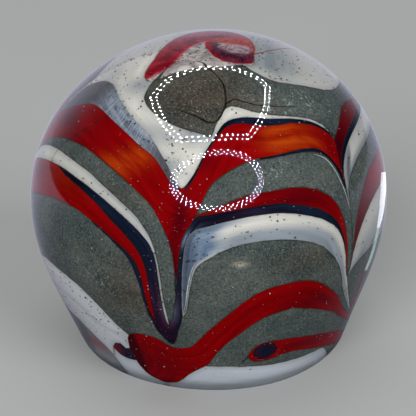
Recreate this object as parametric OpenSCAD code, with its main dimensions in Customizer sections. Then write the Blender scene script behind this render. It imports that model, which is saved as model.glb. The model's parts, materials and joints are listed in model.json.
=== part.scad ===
// Art-glass paperweight: an opaque core wrapped in coloured trails that were
// combed at five pull lines, gathered over with clear glass and ground flat below.
// Every glass body is a separate solid. The front of the weight faces -Y.

/* [Body] */
// Full width across the belly
body_w = 86; // [60:1:110]
// Thickness of the clear outer gather, in percent of the width
casing_pct = 5.2; // [3.5:0.1:7]
// Clear glass under the core, in percent of the width
floor_pct = 2.2; // [1.5:0.1:6]
// Thickness of the coloured glass layer, in percent of the width
layer_pct = 1.9; // [1.2:0.1:3]
// Depth of the soft flutes that the combing leaves, in percent of the radius
flute_pct = 0.4; // [0:0.1:1.2]

/* [Hidden] */

red_glass = "#a00508";
navy_glass = "#101c38";
white_glass = "#dedbd0";
grey_glass = "#5c5f56";
clear_glass = "#dfe6e8";

unit = body_w / 86;
wall = body_w * casing_pct / 100;
floor_t = body_w * floor_pct / 100;
layer_t = body_w * layer_pct / 100;

// The body's profile is a polar curve about a centre on the axis.
centre_z = 28 * unit;
belly_z = 38 * unit;
mean_r = 46.4 * unit;
oval = 0.114;
pear = -0.069;
boxy = 0.016;
top_z = centre_z + mean_r * (1 + oval + pear + boxy);
// The foot and the crown sit a little to one side of the belly.
foot_shift = 1.2 * unit;
crown_shift = 2 * unit;
base_round = 6 * unit;
core_round = 5 * unit;
flutes = 5;

// Pull lines, as azimuths from the front, positive to the right
pull_c = -95;
pull_a = -13;
pull_b = 54;
pull_d = 126;
pull_e = 198;
back_seam = 265;

// Polar angle at which the ground base starts, and those of the body's rings
base_lat = 140;
body_lats = concat([for (i = [1:16]) 7.5 * i],
    [for (i = [1:6]) 120 + (base_lat - 120) * i / 6]);
core_lats = concat([for (i = [1:13]) 9.5 * i], [for (i = [1:4]) 123.5 + 7 * i]);
body_azs = [for (i = [0:47]) pull_c + 7.5 * i];
core_azs = [for (i = [0:35]) pull_c + 10 * i];

// Thinnest that a trail gets before it ends, in degrees
hair = 0.35;
// Where the base disc closes the coloured layer
disc_lat = 148;
// The spot of navy glass on the short red trail
spot_az = 22;
spot_lat = 115;
spot_r = 2.7 * unit;

// The lower trails of the front repeat behind, from this azimuth to the back seam
lower_end = 90;
function behind_az(az) = (az - pull_c) * (back_seam - lower_end) / (lower_end - pull_c) + lower_end;
function front_az(az) = (az - lower_end) * (lower_end - pull_c) / (back_seam - lower_end) + pull_c;

// Azimuths of the stations that all trails share, closer at the pull lines and blunt ends
front_stations = concat(
    [-95, -94, -92, -89], [for (a = [-85:5:-50]) a], [-47, -45, -43, -41, -40, -38, -36],
    [-34, -33, -32, -30, -28, -26, -24.5, -23, -22, -21], [for (a = [-20.2:0.6:-7]) a],
    [-6, -5, -4, -3, -2, -1, 0, 1, 2, 3, 4, 6, 8, 11, 15, 16, 18, 20, 22.5],
    [for (a = [25:5:45]) a], [47, 48.5, 49.5, 50.5, 51.2, 52, 53, 54, 55, 56.5, 58, 60],
    [63, 67, 72, 78, 84, 90]);
back_stations = concat(
    [for (a = [-89, -84, -76, -68, -61]) behind_az(a)], [125, 126, 127, 129.5],
    [for (a = [-50, -45, -43, -40, -37, -34, -33, -32, -28, -22, -15, -8]) behind_az(a)],
    [for (a = [-4, -1, 1.5, 5, 11, 15, 18]) behind_az(a)], [198, 199, 200.5, 204],
    [for (a = [30, 40, 50, 60, 70, 77, 82, 86, 88.5, 90]) behind_az(a)]);
stations = concat(front_stations, back_stations);
// The same stations run on past the back, for a trail that laps over its own start
lapped_stations = concat(stations, [for (a = stations) if (a > pull_c) a + 360]);
// The red swirl of the crown
swirl_from = 38;
swirl_to = 310;
cap_step = 8;

// ---- Surfaces -----------------------------------------------------------

function soft_min(a, b, k) =
    let (h = max(k - abs(a - b), 0) / k) min(a, b) - h * h * k / 4;

function polar_radius(az, lat) =
    mean_r * (1 + oval * cos(2 * lat) + pear * cos(3 * lat) + boxy * cos(4 * lat))
    * (1 - flute_pct / 100 * cos(flutes * (az - pull_a)) * pow(sin(lat), 2));

function axis_shift(z) =
    z < belly_z ? foot_shift * pow(1 - z / belly_z, 2)
    : crown_shift * pow((z - belly_z) / (top_z - belly_z), 2);

// A point at a depth inside the body's skin, above a floor at height base
function skin(az, lat, depth, base, blend) =
    let (free = polar_radius(az, lat) - depth,
        flat = cos(lat) < -0.05 ? (centre_z - base) / -cos(lat) : 1000 * unit,
        r = soft_min(free, flat, blend),
        z = centre_z + r * cos(lat))
    [axis_shift(z) + r * sin(lat) * sin(az), -r * sin(lat) * cos(az), z];

function outside(az, lat) = skin(az, lat, 0, 0, base_round);
function cavity(az, lat) = skin(az, lat, wall, floor_t, core_round);
function core_skin(az, lat) = skin(az, lat, wall + layer_t, floor_t + layer_t, core_round);

// A closed body of rings around the axis, with a pole above and a flat face below
module ringed_body(azs, lats, point) {
    n = len(azs);
    m = len(lats);
    points = concat([point(0, 0)], [for (lat = lats, az = azs) point(az, lat)]);
    function at(i, j) = 1 + j * n + i % n;
    polyhedron(points, concat(
        [for (i = [0:n - 1]) [0, at(i + 1, 0), at(i, 0)]],
        [for (j = [0:m - 2], i = [0:n - 1]) each [
            [at(i, j), at(i + 1, j), at(i + 1, j + 1)],
            [at(i, j), at(i + 1, j + 1), at(i, j + 1)]]],
        [[for (i = [0:n - 1]) at(i, m - 1)]]), convexity = 4);
}

// ---- Outlines of the trails ---------------------------------------------

// An outline runs smoothly through [azimuth, polar angle] points, without overshoot.
function rise(c, i) = (c[i + 1][1] - c[i][1]) / (c[i + 1][0] - c[i][0]);
function tangent(c, i) =
    i == 0 ? rise(c, 0)
    : i == len(c) - 1 ? rise(c, i - 1)
    : let (a = rise(c, i - 1), b = rise(c, i)) a * b <= 0 ? 0 : 2 * a * b / (a + b);
function segment(c, az, i = 0) =
    i >= len(c) - 2 || az < c[i + 1][0] ? i : segment(c, az, i + 1);
function through(c) = function (az)
    az <= c[0][0] ? c[0][1]
    : az >= c[len(c) - 1][0] ? c[len(c) - 1][1]
    : let (i = segment(c, az), w = c[i + 1][0] - c[i][0], t = (az - c[i][0]) / w)
    c[i][1] * (1 + 2 * t) * pow(1 - t, 2) + tangent(c, i) * w * t * pow(1 - t, 2)
    + c[i + 1][1] * t * t * (3 - 2 * t) - tangent(c, i + 1) * w * t * t * (1 - t);

// An arch hangs between two pull lines from its crest, steep at both ends.
function arch(left, crest, right, lat, left_lat, right_lat) = function (az)
    let (s = min(1, az < crest ? (crest - az) / (crest - left) : (az - crest) / (right - crest)),
        low = az < crest ? left_lat : right_lat)
    lat + (low - lat) * (1 - pow(1 - pow(s, 2.2), 0.4));

// One outline up to an azimuth and another from there on
function then(f, az_f, g) = function (az) az < az_f ? f(az) : g(az);

function behind(f) = function (az) f(front_az(az));
function level(lat) = function (az) lat;
function lapped(f) = function (az) f(az > back_seam + 0.01 ? az - 360 : az);

// Crown
eye_rim = through([[-95, 6], [-80, 7], [-68, 9], [-58, 12], [-54, 17], [-50, 22.5],
    [-47, 21], [-42, 17.5], [-30, 14.5], [-15, 12.5], [0, 12], [15, 12], [30, 12.5], [38, 13],
    [44, 12.5], [50, 9], [60, 6.5], [80, 4], [120, 3], [170, 3.5], [220, 4.5], [265, 6]]);
swirl_rim = through([[-95, 15.5], [-80, 17], [-70, 20], [-62, 22.5], [-55, 23.4], [-50, 22.7],
    [38, 13], [44, 14.5], [52, 14], [60, 13], [75, 11.5], [100, 11.5], [130, 12.5],
    [170, 14.5], [200, 15], [230, 14.5], [250, 14.5], [265, 15.5]]);
brown_top = through([[-50, 22.5], [-47, 21], [-42, 17.5], [-30, 14.5], [-15, 12.5], [0, 12],
    [15, 12], [30, 12.5], [38, 14.5], [44, 19], [52, 23.3], [60, 26], [70, 30], [80, 35],
    [90, 38], [100, 40], [112, 42.5], [120, 46], [126, 50]]);
brown_bottom = through([[-50, 22.7], [-45, 28.3], [-40, 30.2], [-30, 32.7], [-20, 34.5],
    [-10, 36], [-4, 36.8], [-0.5, 37.8], [1, 35.8], [2, 33.7], [4, 31.3], [6, 29.5],
    [8, 28.4], [11, 27.8], [14, 28.2], [20, 29.8], [30, 32.4], [40, 34.4], [50, 37.1],
    [54, 39], [57, 41.3], [58.5, 44], [60, 45.8]]);

// Left panel, between pull lines c and a
cream_edge = through([[-95, 39], [-90, 35], [-84, 32], [-74, 30.5], [-60, 32], [-45, 34.8],
    [-30, 38.7], [-24, 41.5], [-20, 44.2], [-18, 45.7], [-16, 47.5], [-14.2, 49.6],
    [-12.5, 51.3], [-11, 52.4]]);
mist_edge = through([[-95, 50], [-90, 46.5], [-80, 41], [-72, 38], [-64, 37.4], [-50, 38.5],
    [-40, 40.2], [-30, 42.8], [-24, 44.6], [-20, 46.9], [-16, 50], [-13, 52.6], [-11, 54]]);
left_red_edge = through([[-95, 63], [-85, 56], [-75, 51.3], [-65, 49.3], [-55, 48.6],
    [-45, 49.7], [-35, 52], [-25, 55.8], [-20, 58.7], [-16, 63], [-13, 67.8], [-11.5, 72],
    [-10.7, 77], [-10.2, 84]]);
left_grey_edge = through([[-95, 65.5], [-90, 60.3], [-80, 56], [-70, 54], [-60, 53.5],
    [-50, 54], [-40, 56.2], [-30, 59.7], [-25, 62.2], [-20, 66.8], [-18, 69.8],
    [-16.6, 74], [-15.5, 80], [-15, 86], [-14.6, 93], [-14, 98], [-13, 97.5], [-12, 94.5],
    [-11, 89.5], [-10.2, 85]]);
left_white_edge = through([[-95, 68], [-90, 64.3], [-80, 60.5], [-70, 58], [-60, 57],
    [-50, 57.5], [-40, 59.3], [-30, 62.8], [-25, 65.3], [-20, 69], [-18, 71.8],
    [-17, 74.5], [-16.2, 79], [-15.8, 86], [-15.2, 94], [-14.6, 99], [-14, 100]]);
left_navy_edge = through([[-65, 57.6], [-60, 58.3], [-52, 59], [-47, 59.9], [-40, 61.9],
    [-35, 64.3], [-30, 67], [-25, 70.5], [-22, 74], [-20.5, 77.5], [-19.7, 82],
    [-19.3, 88], [-19, 96]]);
left_lower_red_edge = through([[-95, 77.5], [-88, 74.5], [-80, 71.3], [-70, 68.2],
    [-60, 66], [-50, 65.4], [-40, 67.3], [-30, 71.5], [-26, 74], [-24, 76], [-22.5, 79],
    [-21.5, 83.5], [-20.8, 90], [-20, 95.5], [-19, 97.5]]);
left_fringe_edge = through([[-41, 67.3], [-36, 69.2], [-30, 72.4], [-26, 75.8],
    [-24.3, 79], [-23, 83], [-21.8, 90], [-20.5, 97.5], [-18.5, 104], [-16.5, 107.5],
    [-14, 110], [-12.8, 108], [-11.5, 104], [-10, 99], [-8.8, 95]]);

// Front panel, between pull lines a and b
arch_white_edge = through([[-11, 52.5], [-10, 52.8], [-9, 52.2], [-7, 49.8], [-5, 46.7], [-3, 43],
    [-1, 40.3], [1, 38], [3, 35.8], [5, 34], [7, 33], [10, 32.2], [15, 31.9], [20, 32.2],
    [30, 33.8], [40, 35.2], [50, 38], [54, 40.2], [57, 42.6], [58.5, 44.6]]);
arch_navy_edge = through([[-11, 54.2], [-10, 54.4], [-9, 53.8], [-7, 51.3], [-5, 48.3], [-3, 44.3],
    [-1, 41.3], [1, 39.2], [3, 37.2], [5, 35.6], [7, 34.6], [10, 33.8], [15, 33.8],
    [20, 34.6], [27, 35.7], [35, 36.4], [40, 36.7], [50, 39.3], [54, 41.5], [57, 44.2],
    [58, 46]]);
front_red_edge = through([[-10.2, 85], [-9.9, 79], [-9.4, 74], [-9, 70], [-8, 66.5],
    [-6.5, 63.8], [-5, 61.5], [-4, 59.5], [-2, 55.5], [0, 52.3], [2, 50.5], [5, 48.8],
    [10, 46.8], [15, 45.5], [20, 44.9], [35, 44.9], [42, 45.2], [46, 46.2], [49, 47.8],
    [51.2, 50], [53, 53], [54, 55.2], [55, 52.5], [56.5, 49.3], [58, 46.8]]);
hairline_edge = through([[18, 45.4], [30, 45.5], [40, 46], [45, 47], [48.5, 48.7],
    [50.5, 50.6], [52, 53.2], [53, 57], [54, 61.5]]);
lens_edge = through([[-4, 60], [0, 59], [4, 57.7], [8, 56.3], [13, 55.2], [18, 54.8],
    [28, 54.7], [35, 55.7], [40, 57.3], [44, 59.5], [47, 62.5], [49, 66], [50.3, 70],
    [51.2, 76], [52, 84], [53, 89]]);
front_lower_red_edge = through([[-10.2, 85], [-9.9, 79], [-9.4, 74], [-9, 70], [-8, 66.5],
    [-6.5, 63.8], [-5, 61.8], [-4, 60.6], [0, 60], [8, 59], [18, 58.4], [25, 58.6],
    [30, 59.7], [35, 61.2], [40, 63.2], [44, 65.8], [47, 69.2], [49, 73.3], [50.5, 79],
    [51.2, 83], [52, 86.5], [53, 90]]);
front_navy_edge = through([[-8.8, 91], [-8.4, 82], [-8.1, 74], [-7.6, 70], [-7, 67.5],
    [-5.5, 65.3], [-4, 64.3], [0, 63.3], [5, 62.2], [10, 61.5], [15, 61], [20, 61],
    [25, 61.4], [30, 62.4], [35, 64], [40, 66], [44, 68.5], [47, 71.5], [49, 75.5],
    [50.5, 80.5], [52, 87], [54, 91], [56.5, 96], [60, 101.5], [67, 110]]);
front_white_edge = through([[-8.8, 95], [-7.5, 93], [-6.6, 88], [-6, 84], [-5, 79.3],
    [-4, 76.5], [-2, 74.3], [0, 73.2], [3, 71.5], [7, 69.9], [12, 68.9], [18, 68.6],
    [25, 69.2], [30, 70.3], [35, 72], [40, 74.7], [44, 78.5], [47, 82.5], [49.5, 87],
    [52, 93], [55, 98], [60, 104], [67, 111.5]]);

// Right and back panels: the same trails as plain arches
right_red_top = through([[54, 55.2], [55, 52.5], [56.5, 49.3], [58, 46.8], [60, 45.8],
    [65, 44.5], [70, 43], [75, 41.8], [80, 41.3], [86, 42.3], [92, 44], [100, 46.5],
    [110, 50.5], [118, 55], [122.5, 58.5], [126, 62]]);
right_crest = 78;
back_crest = 163;
rear_crest = 231;
// Per outline, from the crown downwards: its crest, and where it meets each pull line
panel_lats = [
    [31, 25, 50, 50, 39], [41, 55, 62, 62, 50], [46.5, 60, 66, 66, 61],
    [48.3, 62, 69, 69, 65.5], [54, 66, 73, 74, 68], [60, 86, 80, 82, 70],
    [68, 90.3, 92, 92, 77.5], [84, 91, 100, 100, 77.8]];
function right_arch(i) = let (p = panel_lats[i])
    arch(pull_b, right_crest, pull_d, p[0], p[1], p[2]);
function back_arch(i) = let (p = panel_lats[i])
    arch(pull_d, back_crest, pull_e, p[0] - 1, p[2], p[3]);
function rear_arch(i) = let (p = panel_lats[i])
    arch(pull_e, rear_crest, back_seam, p[0] + 1, p[3], p[4]);
function far_side(i) = then(back_arch(i), pull_e, rear_arch(i));

// Lower trails, which were laid on after the combing
side_white_top = through([[-95, 126], [-92, 115], [-89, 104], [-84, 96], [-76, 91],
    [-67, 88.8], [-57, 89.3], [-50, 91], [-45, 94], [-40, 99], [-36, 104.5], [-32, 109]]);
side_white_bottom = through([[-95, 127], [-89, 120], [-80, 114], [-70, 111.8], [-62, 112],
    [-56, 115.3], [-50, 119.5], [-45, 124.5], [-43, 129.5], [-40, 148]]);
tip_top = through([[-43, 119], [-41, 116.5], [-38, 115.6], [-36, 117.6], [-34, 116.9]]);
tip_bottom = through([[-43, 120], [-41, 122.3], [-38, 123.4], [-33, 123.4]]);
lower_red_top = through([[-34, 116.9], [-33, 111], [-32, 109], [-30, 107.6], [-26, 106.8],
    [-23, 107], [-20, 108], [-17, 110], [-14, 111.9], [-11, 111.8], [-8, 111], [-6, 109.5],
    [-4, 107], [-1, 102.5], [2, 99], [5, 95.5], [8, 92.5], [12, 88.5], [16, 86], [20, 84.6],
    [25, 84], [30, 84], [35, 85], [40, 87.5], [45, 91.5], [50, 96], [55, 102], [60, 107.5],
    [70, 115], [80, 121], [90, 126]]);
lower_red_bottom = through([[-34, 117.2], [-33, 123], [-32, 125.5], [-30, 128.5],
    [-27, 131.3], [-22, 133.5], [-17, 132.5], [-13, 129.5], [-9, 126], [-5, 123.2],
    [-1, 120.5], [1, 117], [3, 113.5], [6, 109], [9, 105.5], [12, 102.5], [16, 98.7],
    [20, 96.3], [25, 95], [29, 94.6], [35, 96.5], [40, 98.5], [50, 104], [55, 107.5],
    [60, 111.5], [70, 118], [80, 123], [90, 127]]);
short_red_top = through([[15, 116], [16, 114], [18, 111.5], [20, 110.3], [26, 110],
    [35, 111.4], [45, 114.2], [55, 117.5], [65, 121.5], [80, 127.5], [90, 131]]);
short_red_bottom = through([[15, 117.5], [16.5, 119.3], [19, 120.3], [23, 120.5],
    [29, 118.9], [33, 118.8], [38, 119.5], [48, 122.5], [58, 125.6], [70, 129.5],
    [80, 131.5], [90, 133]]);
base_white_top = through([[-1, 121.4], [6, 121.6], [12, 122], [20, 123], [35, 124],
    [54, 125], [58, 127.5], [63, 132], [70, 138], [80, 144], [90, 147]]);

// Whole runs, from the pull line beside the front panel round to the back seam
function far_run(i) = then(right_arch(i), pull_d, far_side(i));
far_red_top = then(right_red_top, pull_d, far_side(1));
upper_grey_top = then(brown_top, pull_d, far_side(0));
upper_grey_bottom = then(then(brown_bottom, 59, right_red_top), pull_d, far_side(1));
crown_top = then(lapped(swirl_rim), swirl_to + 1, lapped(brown_bottom));
crown_bottom = then(upper_grey_top, back_seam,
    then(lapped(cream_edge), 360 - 11, lapped(arch_white_edge)));
navy_top = then(left_white_edge, -14.1,
    then(left_grey_edge, -10.2, front_lower_red_edge));
navy_bottom = then(left_navy_edge, -18.7,
    then(left_fringe_edge, -8.9, front_navy_edge));
field_top = then(left_lower_red_edge, -40.5,
    then(left_fringe_edge, -8.9, then(front_white_edge, 68, far_run(7))));
front_field_bottom = then(side_white_top, -31.9, lower_red_top);
field_bottom = then(front_field_bottom, lower_end + 0.1, behind(front_field_bottom));

// ---- Solids of the coloured layer ---------------------------------------

function quad(a, b, c, d) = [[a, b, c], [a, c, d]];

// A piece of the coloured layer between two outlines, cells across wide
module trail(from, to, top, bottom, cells = 1, at_azs = stations, ring = false) {
    azs = [for (a = at_azs) if (a >= from - 0.01 && a <= to + 0.01) a];
    n = len(azs);
    rows = [for (az = azs) let (t = top(az), b = max(bottom(az), t + hair))
        [for (j = [0:cells]) t + (b - t) * j / cells]];
    points = concat(
        [for (i = [0:n - 1], lat = rows[i]) cavity(azs[i], lat)],
        [for (i = [0:n - 1], lat = rows[i]) core_skin(azs[i], lat)]);
    under = n * (cells + 1);
    last = ring ? n - 1 : n - 2;
    function at(i, j) = i % n * (cells + 1) + j;
    skins = [for (i = [0:last], j = [0:cells - 1]) each concat(
        quad(at(i, j), at(i + 1, j), at(i + 1, j + 1), at(i, j + 1)),
        quad(under + at(i, j + 1), under + at(i + 1, j + 1),
            under + at(i + 1, j), under + at(i, j)))];
    rims = [for (i = [0:last]) each concat(
        quad(under + at(i, 0), under + at(i + 1, 0), at(i + 1, 0), at(i, 0)),
        quad(at(i, cells), at(i + 1, cells), under + at(i + 1, cells), under + at(i, cells)))];
    ends = ring ? [] : [for (j = [0:cells - 1]) each concat(
        quad(under + at(0, j), at(0, j), at(0, j + 1), under + at(0, j + 1)),
        quad(at(n - 1, j), under + at(n - 1, j), under + at(n - 1, j + 1), at(n - 1, j + 1)))];
    polyhedron(points, concat(skins, rims, ends), convexity = 6);
}

// A lower trail on the front and its repeat behind
module both_sides(from, to, top, bottom, cells = 1) {
    trail(from, to, top, bottom, cells);
    trail(behind_az(from), behind_az(to), behind(top), behind(bottom), cells);
}

// A round piece of the coloured layer about the axis, out to a rim
module layer_disc(rim, rings, azs) {
    n = len(azs);
    steps = [for (k = [1:rings]) k / rings];
    points = concat([cavity(0, 0), core_skin(0, 0)],
        [for (f = steps, az = azs) cavity(az, f * rim(az))],
        [for (f = steps, az = azs) core_skin(az, f * rim(az))]);
    under = n * rings;
    function at(i, k) = 2 + k * n + i % n;
    polyhedron(points, concat(
        [for (i = [0:n - 1]) each [
            [0, at(i + 1, 0), at(i, 0)], [1, under + at(i, 0), under + at(i + 1, 0)]]],
        [for (i = [0:n - 1], k = [0:rings - 2]) each concat(
            quad(at(i, k), at(i + 1, k), at(i + 1, k + 1), at(i, k + 1)),
            quad(under + at(i, k + 1), under + at(i + 1, k + 1),
                under + at(i + 1, k), under + at(i, k)))],
        [for (i = [0:n - 1]) each quad(at(i, rings - 1), at(i + 1, rings - 1),
            under + at(i + 1, rings - 1), under + at(i, rings - 1))]), convexity = 2);
}

// ---- Clear glass, core and crown ----------------------------------------

module clear_casing() {
    color(clear_glass) difference() {
        ringed_body(body_azs, body_lats, function (az, lat) outside(az, lat));
        ringed_body(core_azs, core_lats, function (az, lat) cavity(az, lat));
    }
}

module core_gather() {
    color(grey_glass)
        ringed_body(core_azs, core_lats, function (az, lat) core_skin(az, lat));
}

module base_disc() {
    rim_r = (centre_z - floor_t) * tan(180 - disc_lat);
    color(white_glass) translate([foot_shift, 0, floor_t])
        cylinder(h = layer_t, r = rim_r, $fn = 48);
}

module swirl_eye() {
    color(white_glass) layer_disc(eye_rim, 3, [for (a = [0:cap_step:359]) a + pull_c]);
}

module red_swirl() {
    color(red_glass) trail(swirl_from, swirl_to, lapped(eye_rim),
        lapped(swirl_rim), 2, [for (a = [swirl_from:cap_step:swirl_to]) a]);
}

module white_crown() {
    color(white_glass) trail(swirl_from + 2, swirl_from + 380, crown_top, crown_bottom, 2,
        lapped_stations);
}

module upper_grey_band() {
    color(grey_glass) trail(-50, back_seam, upper_grey_top, upper_grey_bottom, 2);
}

module mist_streak() {
    color(white_glass) trail(pull_c, -11.2, cream_edge, mist_edge);
}

// ---- Trails of the front and left panels --------------------------------

module navy_arch_trail() {
    color(navy_glass) trail(-11.2, 58, arch_white_edge, arch_navy_edge);
}

module upper_red_trail() {
    color(red_glass) trail(pull_c, 58, then(mist_edge, -11.1, arch_navy_edge),
        then(left_red_edge, -10.3, front_red_edge), 2);
}

module navy_hairline() {
    color(navy_glass) trail(20, pull_b, front_red_edge, hairline_edge);
}

module middle_grey_band() {
    color(grey_glass) {
        trail(pull_c, -10.6, left_red_edge, left_grey_edge);
        trail(-4, pull_b, then(front_red_edge, 19, hairline_edge), lens_edge, 2);
    }
}

module middle_white_trail() {
    color(white_glass) {
        trail(pull_c, -14.2, left_grey_edge, left_white_edge);
        trail(-8.8, 67, front_navy_edge, front_white_edge);
    }
}

module middle_navy_trail() {
    color(navy_glass) trail(-65, 53, navy_top, navy_bottom);
}

module navy_fringe() {
    color(navy_glass) trail(-41, -18.4, then(left_lower_red_edge, -18.7, left_fringe_edge),
        left_fringe_edge);
}

module middle_red_trail() {
    color(red_glass) {
        trail(pull_c, -19, then(left_white_edge, -65.1, left_navy_edge), left_lower_red_edge);
        trail(-4, 53, lens_edge, front_lower_red_edge);
    }
}

// ---- Trails of the right and back panels --------------------------------

module far_trail(top, bottom, cells = 1) {
    trail(pull_b, back_seam, top, bottom, cells);
}

module far_red_trail() { color(red_glass) far_trail(far_red_top, far_run(2)); }
module far_navy_trail() { color(navy_glass) far_trail(far_run(2), far_run(3)); }
module far_white_trail() { color(white_glass) far_trail(far_run(3), far_run(4)); }
module far_grey_band() { color(grey_glass) far_trail(far_run(4), far_run(5)); }
module far_lower_red_trail() { color(red_glass) far_trail(far_run(5), far_run(6)); }
module far_lower_white_trail() { color(white_glass) far_trail(far_run(6), far_run(7), 2); }

// ---- Grey field and the lower trails ------------------------------------

module grey_field() {
    color(grey_glass) trail(pull_c, back_seam - 1, field_top, field_bottom, 4, ring = true);
}

module side_grey_wedge() {
    color(grey_glass) trail(pull_b, 72, far_run(7),
        then(front_navy_edge, 68, far_run(7)), 2);
}

module side_white_trail() {
    color(white_glass) both_sides(pull_c, -32, side_white_top,
        then(side_white_bottom, -43.5, then(tip_top, -33.9, lower_red_top)), 2);
}

module smoky_base_patch() {
    color(grey_glass) both_sides(pull_c, -40, side_white_bottom, level(disc_lat), 2);
}

module dark_trail_tip() {
    color(navy_glass) both_sides(-43, -33, then(tip_top, -33.9, lower_red_bottom), tip_bottom);
}

module lower_red_trail() {
    color(red_glass) both_sides(-34, lower_end, lower_red_top, lower_red_bottom, 2);
}

module lower_grey_band() {
    color(grey_glass) both_sides(-1, lower_end, lower_red_bottom,
        then(base_white_top, 14, short_red_top), 2);
}

// A bar along the radius through the navy spot
module spot_bar() {
    middle = core_skin(spot_az, spot_lat);
    translate(middle) rotate([0, 0, spot_az]) rotate([spot_lat - 180, 0, 0])
        translate([0, 0, -4 * unit]) cylinder(h = 12 * unit, r = spot_r, $fn = 32);
}

module short_red_trail() {
    color(red_glass) difference() {
        both_sides(15, lower_end, short_red_top, short_red_bottom);
        spot_bar();
    }
}

module navy_spot() {
    color(navy_glass) intersection() {
        trail(15, 30, short_red_top, short_red_bottom);
        spot_bar();
    }
}

module base_grey_strip() {
    color(grey_glass) both_sides(11, lower_end,
        then(base_white_top, 14, short_red_bottom), base_white_top, 2);
}

module base_white_trail() {
    color(white_glass) both_sides(-45, lower_end,
        then(side_white_bottom, -44, then(tip_bottom, -33.5,
            then(lower_red_bottom, -1.5, base_white_top))),
        then(side_white_bottom, -40.5, level(disc_lat)), 3);
}

clear_casing();
core_gather();
base_disc();
swirl_eye();
red_swirl();
white_crown();
upper_grey_band();
mist_streak();
navy_arch_trail();
upper_red_trail();
navy_hairline();
middle_grey_band();
middle_white_trail();
middle_navy_trail();
navy_fringe();
middle_red_trail();
far_red_trail();
far_navy_trail();
far_white_trail();
far_grey_band();
far_lower_red_trail();
far_lower_white_trail();
grey_field();
side_grey_wedge();
side_white_trail();
smoky_base_patch();
dark_trail_tip();
lower_red_trail();
lower_grey_band();
short_red_trail();
navy_spot();
base_grey_strip();
base_white_trail();
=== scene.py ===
"""The looks of the art glass paperweight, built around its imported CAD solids.

Each coloured trail is remade as a dense smooth skin from its CAD solid, under one
clear casing. Lengths are in metres, angles in degrees: az is 0 at the front (-Y) and
grows to the right, lat is measured down from +Z about the body's centre.
"""

import json
import math

import bmesh
import bpy
import numpy as np
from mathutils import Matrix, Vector
from mathutils.kdtree import KDTree


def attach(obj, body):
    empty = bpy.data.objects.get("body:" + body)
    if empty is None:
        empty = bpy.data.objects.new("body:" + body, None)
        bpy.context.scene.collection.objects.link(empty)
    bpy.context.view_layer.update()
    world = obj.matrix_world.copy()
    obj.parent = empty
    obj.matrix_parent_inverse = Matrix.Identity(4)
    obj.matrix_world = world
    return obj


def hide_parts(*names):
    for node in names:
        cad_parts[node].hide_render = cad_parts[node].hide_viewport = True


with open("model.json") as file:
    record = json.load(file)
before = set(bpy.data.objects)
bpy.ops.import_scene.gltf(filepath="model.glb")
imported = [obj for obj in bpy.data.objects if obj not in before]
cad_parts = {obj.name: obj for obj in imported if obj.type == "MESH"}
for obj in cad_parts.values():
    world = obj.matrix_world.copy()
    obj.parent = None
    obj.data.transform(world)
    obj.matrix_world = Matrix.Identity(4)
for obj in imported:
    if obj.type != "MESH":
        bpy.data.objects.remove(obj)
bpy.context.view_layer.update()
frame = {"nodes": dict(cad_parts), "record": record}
NODES = frame["nodes"]

MM = 0.001

# ---- The body's skin, with the proportions of the CAD source ----------------

WIDTH = 86 * MM
WALL = 0.052 * WIDTH
FLOOR = 0.022 * WIDTH
LAYER = 0.019 * WIDTH
FLUTES, FLUTE = 5, 0.004
CENTRE_Z = 28 * MM
BELLY_Z = 38 * MM
MEAN_R = 46.4 * MM
OVAL, PEAR, BOXY = 0.114, -0.069, 0.016
TOP_Z = CENTRE_Z + MEAN_R * (1 + OVAL + PEAR + BOXY)
FOOT_SHIFT = 1.2 * MM
CROWN_SHIFT = 2 * MM
BASE_ROUND = 6 * MM
CORE_ROUND = 5 * MM
# The pull line at the front left, and the line where az starts
PULL_A = -13
BACK = -95
# The flat base is met where the cosine of lat is below this
BASE_COS = -0.05


def axis_shift(z):
    """How far the body's axis leans to the right at a height."""
    low = FOOT_SHIFT * np.clip(1 - z / BELLY_Z, 0, None) ** 2
    high = CROWN_SHIFT * np.clip((z - BELLY_Z) / (TOP_Z - BELLY_Z), 0, None) ** 2
    return low + high


def skin(az, lat, depth=0.0, base=0.0, blend=BASE_ROUND):
    """Points of the body's skin, or of one at a depth below it, as an (n, 3) array."""
    a, t = np.radians(az), np.radians(lat)
    free = 1 + OVAL * np.cos(2 * t) + PEAR * np.cos(3 * t) + BOXY * np.cos(4 * t)
    free = MEAN_R * free * (1 - FLUTE * np.cos(FLUTES * np.radians(az - PULL_A)) * np.sin(t) ** 2)
    down = np.where(np.cos(t) < BASE_COS, -np.cos(t), 1)
    flat = np.where(np.cos(t) < BASE_COS, (CENTRE_Z - base) / down, 1.0)
    gap = np.maximum(blend - np.abs(free - depth - flat), 0) / blend
    r = np.minimum(free - depth, flat) - gap * gap * blend / 4
    z = CENTRE_Z + r * np.cos(t)
    side = r * np.sin(t)
    return np.stack([axis_shift(z) + side * np.sin(a), -side * np.cos(a), z], -1)


def cavity(az, lat, lift=0.0):
    """Points on the inner face of the clear casing, or lifted into the casing."""
    return skin(az, lat, WALL - lift, FLOOR - lift, CORE_ROUND)


def angles(points):
    """The az and lat of points, with az from the back line on."""
    x = points[:, 0] - axis_shift(points[:, 2])
    y, z = points[:, 1], points[:, 2] - CENTRE_Z
    az = np.degrees(np.arctan2(x, -y))
    return (az - BACK) % 360 + BACK, np.degrees(np.arctan2(np.hypot(x, y), z))


# ---- Small helpers ----------------------------------------------------------


def srgb(r, g, b):
    """A display colour, 0 to 255, as the linear colour that shaders take."""
    def linear(v):
        v = v / 255
        return v / 12.92 if v <= 0.04045 else ((v + 0.055) / 1.055) ** 2.4
    return (linear(r), linear(g), linear(b), 1)


def add_piece(name, mesh, material, nodes=()):
    piece = bpy.data.objects.new(name, mesh)
    bpy.context.scene.collection.objects.link(piece)
    mesh.materials.append(material)
    mesh.shade_smooth()
    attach(piece, "root")
    if nodes:
        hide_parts(*nodes)
    return piece


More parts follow.
